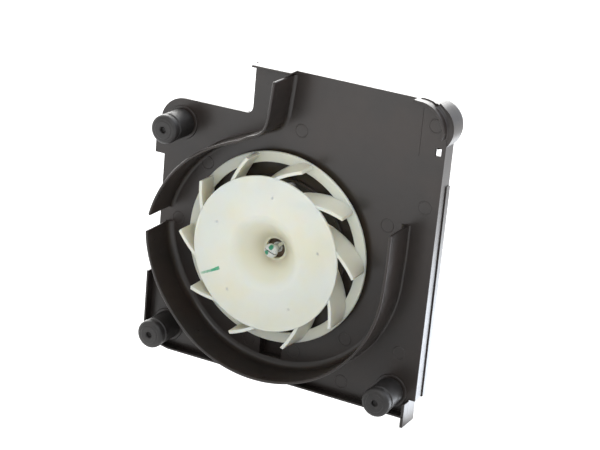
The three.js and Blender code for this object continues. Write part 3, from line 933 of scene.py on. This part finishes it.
    def ribs(self, sizes):
        upright = [brick((x - 1, x + 1), RIB_DEPTH, (low, TOP - 2), 0.3) for x, low in ((0, 51), (61, 70))]
        spokes = [swung(brick((51, 88), RIB_DEPTH, (-1, 1), 0.3), angle) for angle in (30, 150, 228, 312)]
        boss = [(0, 1.2, 0), (5, 1.2, 0), (5, 8, 0.4), (1.9, 8, 0.3), (1.9, 3.3, 0), (0, 3.3, 0)]
        bosses = [spun(boss, False, 40, centre=polar(BOSS_RING_R, angle)) for angle in (30, 150, 270)]
        return united([*upright, *spokes, *bosses, self.window_box()])

    def window_box(self):
        """Open shell behind the window."""
        bm = brick((-10.3, 10.3), (1.2, 10), (-86.1, -70.5), 0)
        front = [face for face in bm.faces if face.normal.y < -0.5]
        bmesh.ops.inset_individual(bm, faces=front, thickness=1.5)
        bmesh.ops.translate(bm, verts=front[0].verts, vec=(0.0, 7.3, 0.0))
        rounded_edges(bm, 0.3, 2)
        return bm

    def pins(self, sizes):
        shells = []
        for centre in DAMPERS.values():
            pin = [(0, 1, 0), (4, 1, 0), (4, PIN_TIP, 0.8), (0, PIN_TIP, 0)]
            seat = [(3, 1, 0), (SEAT_R, 1, 0), (SEAT_R, -1, 0.5), (3, -1, 0)]
            shells += [spun(pin, closed=False, steps=32, centre=centre), spun(seat, steps=64, centre=centre)]
        return united(shells)

    def marks(self, sizes):
        """Low round marks that the ejector pins left on the floor."""
        places = (
            (-62.5, 48), (-83.2, 1.7), (18.4, -75.6), (-18.4, -75.6), (57.2, -56.2), (57.6, -88.4),
            (99.3, -55.4), (80.1, 34), (106, 52.8), (107.3, 110.5), (9.1, 86.6),
        )
        outline = [(4.1, 0.3, 0), (4.35, -0.22, 0.1), (4.95, -0.22, 0.1), (5.2, 0.3, 0)]
        rings = [spun(outline, steps=40, centre=place, arcs=2) for place in places]
        return united([*rings, brick((96.9, 97.6), (-0.3, 0.6), (88, 121), 0.12)])


class FAN_OT_dampers(bpy.types.Operator):
    """Three rubber dampers with a grooved cap"""

    bl_idname = "fan.dampers"
    bl_label = "Dampers"

    def execute(self, context):
        black = rubber("damper_rubber", tuple(context.scene.fan_finish.rubber))
        for name, centre in DAMPERS.items():
            low, high = box_of(name)
            tip = low.y
            reach = (high.x - low.x) / 2
            outline = [
                (0.0, tip + 3.2, 0),
                (2.2, tip + 3.2, 0.4),
                (2.2, tip + 0.7, 0.3),
                (2.9, tip + 0.05, 0.25),
                (6.3, tip + 0.05, 0.3),
                (6.8, tip + 0.55, 0.25),
                (8.2, tip + 0.55, 0.6),
                (reach - 0.3, tip + 1.9, 1.0),
                (reach, tip + 5.9, 0.7),
                (reach - 1.5, tip + 6.5, 0.35),
                (reach - 1.5, tip + 8.0, 0.35),
                (reach - 0.5, tip + 8.7, 0.5),
                (reach - 0.3, -1.3, 0.5),
                (4.3, -1.3, 0),
                (4.3, PIN_TIP - 0.3, 0),
                (0.0, PIN_TIP - 0.3, 0),
            ]
            bm = spun(outline, False, 72, centre=centre)
            piece(name + "_rubber", bm, black, "housing", (name,))
        return {"FINISHED"}


class FAN_OT_wheel(bpy.types.Operator):
    """Front disc with funnel, rear ring, blades and hub"""

    bl_idname = "fan.wheel"
    bl_label = "Wheel"

    def execute(self, context):
        sizes = context.scene.fan_wheel
        plastic = wheel_plastic(context.scene.fan_finish)
        parts = (
            ("impeller_disc", self.disc(sizes), ("impeller",)),
            ("impeller_ring", self.ring(sizes), ()),
            ("impeller_blades", self.blades(sizes), ()),
            ("impeller_hub_spokes", self.spokes(), ()),
            ("impeller_gate_marks", self.gate_marks(), ()),
        )
        for name, bm, replaced in parts:
            piece(name, bm, plastic, "rotor", replaced)
        return {"FINISHED"}

    def disc(self, sizes):
        front = DISC_FACE
        back = front + 2.0
        f = sizes.funnel
        outline = [
            (sizes.disc, front, 0.55),
            (f + 1.5, front, 2.6),
            (f - 3.2, front + 3.0, 1.6),
            (11.2, -8.4, 1.6),
            (9.0, HUB_FRONT, 0.8),
            (sizes.bore, HUB_FRONT, 0.35),
            (sizes.bore, HUB_BACK, 0),
            (12.4, HUB_BACK, 0.8),
            (15.0, -8.0, 1.5),
            (f - 1.4, back + 2.6, 1.5),
            (f + 2.6, back, 2.0),
            (sizes.disc, back, 0.3),
        ]
        return spun(outline, steps=144, arcs=5)

    def ring(self, sizes):
        outline = [
            (sizes.ring_inner, RING_FRONT, 0.35),
            (sizes.radius, RING_FRONT, 0.7),
            (sizes.radius, RING_BACK, 0.35),
            (sizes.ring_inner, RING_BACK, 0.35),
        ]
        return spun(outline, steps=160, arcs=4)

    def blades(self, sizes):
        step = 360.0 / sizes.blades
        return united(swung(self.blade(sizes), FIRST_BLADE + i * step) for i in range(sizes.blades))

    def blade(self, sizes):
        """One blade on a logarithmic spiral, thinner towards its root and fuller towards the ring."""
        tip, root, slope, steps = 68.6, 42.0, 0.743, 22
        limit = sizes.radius - 0.1
        inner, outer, swell = [], [], []
        for i in range(steps + 1):
            share = i / steps
            radius = tip + (root - tip) * share
            angle = math.log(tip / radius) / slope
            normal = angle + 0.5 * math.pi - math.atan(slope)
            across = Vector((math.cos(normal), 0.0, math.sin(normal)))
            middle = Vector((math.cos(angle), 0.0, math.sin(angle))) * radius
            half = sizes.blade * (1 - 0.45 * share**3) / 2
            for side, away in ((inner, -half), (outer, half)):
                point = middle + across * away
                side.append(point * min(1.0, limit / point.length))
            swell.append(across * sizes.swell * (1 - math.exp(-share / 0.07)) * (1 - 0.45 * share))
        outline = outer + inner[::-1]
        moves = swell + [Vector((0.0, 0.0, 0.0))] * len(inner)
        return self.grown(outline, moves, DISC_FACE + 0.5, RING_BACK - 0.5)

    @staticmethod
    def grown(outline, moves, y0, y1, rows=5):
        """A closed outline drawn out from y0 to y1, each of its points drifting by its own move."""
        bm = bmesh.new()
        place = bm.verts.layers.int.new("place")
        verts, _ = chain(bm, [(p.x, y0, p.z) for p in outline], closed=True)
        for i, vert in enumerate(verts):
            vert[place] = i
        region = bmesh.ops.contextual_create(bm, geom=bm.edges[:])["faces"]
        for row in range(1, rows + 1):
            share = row / rows
            inner = region if row > 1 else []
            grown = bmesh.ops.extrude_face_region(bm, geom=region)["geom"]
            bmesh.ops.delete(bm, geom=inner, context="FACES_ONLY")
            region = [item for item in grown if isinstance(item, bmesh.types.BMFace)]
            for vert in (item for item in grown if isinstance(item, bmesh.types.BMVert)):
                vert.co = outline[vert[place]] + moves[vert[place]] * share**1.6
                vert.co.y = y0 + (y1 - y0) * share
        bmesh.ops.recalc_face_normals(bm, faces=bm.faces)
        rounded_edges(bm, 0.28, 2)
        return bm

    def spokes(self):
        """Two short bars across the bore, behind the spindle's prongs."""
        y = (HUB_FRONT - 0.3, HUB_BACK - 0.1)
        return united(swung(brick((3.2, 7.6), y, (-1.1, 1.1), 0.25), angle) for angle in (45, 225))

    def gate_marks(self):
        """Five small nubs that moulding left on the disc."""
        front = DISC_FACE
        outline = [
            (0, front - 0.14, 0),
            (0.6, front - 0.14, 0.2),
            (1.2, front + 0.05, 0),
            (1.2, front + 0.3, 0),
            (0, front + 0.3, 0),
        ]
        return united(spun(outline, False, 20, centre=polar(42, 14.5 + 72 * i)) for i in range(5))


class FAN_OT_spindle(bpy.types.Operator):
    """Split spindle whose two prongs hold the hub"""

    bl_idname = "fan.spindle"
    bl_label = "Spindle"

    def execute(self, context):
        nylon = spindle_plastic(context.scene.fan_finish)
        tip = SPINDLE_LOW.y
        base = SPINDLE_HIGH.y
        prong = [
            (0, tip, 0),
            (3.4, tip, 0.9),
            (5.0, tip + 1.9, 0.6),
            (5.0, tip + 4.1, 0.5),
            (2.9, tip + 4.4, 0.2),
            (2.9, -4.0, 0),
            (0, -4.0, 0),
        ]
        halves = []
        for side in (1, -1):
            half = spun(prong, False, 48)
            bmesh.ops.bisect_plane(
                half,
                geom=half.verts[:] + half.edges[:] + half.faces[:],
                plane_co=(0, 0, 0.5 * side),
                plane_no=(0, 0, side),
                clear_inner=True,
            )
            bmesh.ops.holes_fill(half, edges=[edge for edge in half.edges if edge.is_boundary])
            rounded_edges(half, 0.15, 2, 60)
            halves.append(swung(half, SLIT_ANGLE))
        foot = [
            (1.8, -5.0, 0),
            (2.8, -5.0, 0),
            (2.8, -2.6, 0.2),
            (3.8, -2.6, 0.3),
            (3.8, base, 0.3),
            (1.8, base, 0),
        ]
        halves.append(spun(foot, steps=64))
        piece("wheel_spindle_split", united(halves), nylon, "rotor", ("wheel_spindle",))
        return {"FINISHED"}


class FAN_OT_motor(bpy.types.Operator):
    """Motor, its carrier and the fasteners on the back"""

    bl_idname = "fan.motor"
    bl_label = "Motor"

    def execute(self, context):
        finishes = context.scene.fan_finish
        housing = bpy.data.materials["housing_plastic"]
        black = bpy.data.materials["damper_rubber"]
        steel = metal("zinc_steel", (0.62, 0.63, 0.65), 0.34)
        brass = metal("turned_brass", (0.75, 0.56, 0.27), 0.3)
        bronze = metal("sintered_bronze", (0.5, 0.31, 0.15), 0.5, 0.3, 0.03)
        # rotor cup paint, made brown as painted shade: it stands for the shadowed inside of the hub that
        # shows through the bore
        cup_paint_and_hub_shade = moulded_plastic("rotor_paint_and_hub_shade", (0.12, 0.08, 0.05), 0.55, 0.8, 0.02)
        ferrite = moulded_plastic("magnet_ferrite", (0.05, 0.048, 0.046), 0.62, 0.25, 0.03)
        nylon = moulded_plastic("nylon_natural", (0.74, 0.71, 0.62), 0.42, 0.5, 0.015)
        case = moulded_plastic("motor_case", (0.038, 0.036, 0.034), 0.5, 0.3, 0.02)
        chip = moulded_plastic("component_epoxy", (0.022, 0.022, 0.024), 0.45, 0.3, 0.02)
        finer = (
            ("motor_carrier", housing, "housing_plastic", 0.3),
            ("motor_base", case, "case_plastic", 0.3),
            ("rotor_cup", cup_paint_and_hub_shade, "rotor_steel", 0.2),
            ("connector_socket", nylon, "nylon_natural", 0.15),
        )
        for node, material, slot, edge in finer:
            refined(node, material, edge)
        for i in range(1, 4):
            refined(f"grommet_{i}", black, 0.2)
            refined(f"motor_screw_{i}", steel, 0.12)
            refined(f"carrier_screw_{i}", steel, 0.12)
        kept = {
            "rotor_magnet": ferrite,
            "rotor_shaft": steel,
            "thrust_washer": nylon,
            "shaft_clip": steel,
            "bearing_tube": brass,
            "bearing_front": bronze,
            "bearing_rear": bronze,
            "stator_core": laminated_metal(),
            "insulator_front": nylon,
            "insulator_rear": nylon,
            "motor_board": circuit_board(),
            "hall_sensor": chip,
            "driver_chip": chip,
        }
        wire = copper_winding()
        kept.update({f"coil_{i}": wire for i in range(1, 7)})
        kept.update({f"connector_pin_{i}": steel for i in range(1, 4)})
        for node, material in kept.items():
            slots = frame["nodes"][node].data.materials
            slots.clear()
            slots.append(material)
        return {"FINISHED"}


class FAN_PT_builder(bpy.types.Panel):
    """Buttons for the fan unit's pieces"""

    bl_idname = "FAN_PT_builder"
    bl_label = "Fan Unit"
    bl_space_type = "VIEW_3D"
    bl_region_type = "UI"
    bl_category = "Fan Unit"

    def draw(self, context):
        for operator in OPERATORS:
            self.layout.operator(operator.bl_idname)


SETTINGS = {
    "fan_housing": FanHousingSettings,
    "fan_wheel": FanWheelSettings,
    "fan_finish": FanFinishSettings,
    "fan_stage": FanStageSettings,
}
OPERATORS = (FAN_OT_stage, FAN_OT_housing, FAN_OT_dampers, FAN_OT_wheel, FAN_OT_spindle, FAN_OT_motor)


def register():
    for kind in (*SETTINGS.values(), *OPERATORS, FAN_PT_builder):
        bpy.utils.register_class(kind)
    for name, kind in SETTINGS.items():
        setattr(bpy.types.Scene, name, bpy.props.PointerProperty(type=kind))


def unregister():
    for name in SETTINGS:
        delattr(bpy.types.Scene, name)
    for kind in (*SETTINGS.values(), *OPERATORS, FAN_PT_builder):
        bpy.utils.unregister_class(kind)


def main():
    register()
    for operator in OPERATORS:
        family, action = operator.bl_idname.split(".")
        getattr(getattr(bpy.ops, family), action)()


if __name__ == "__main__":
    main()
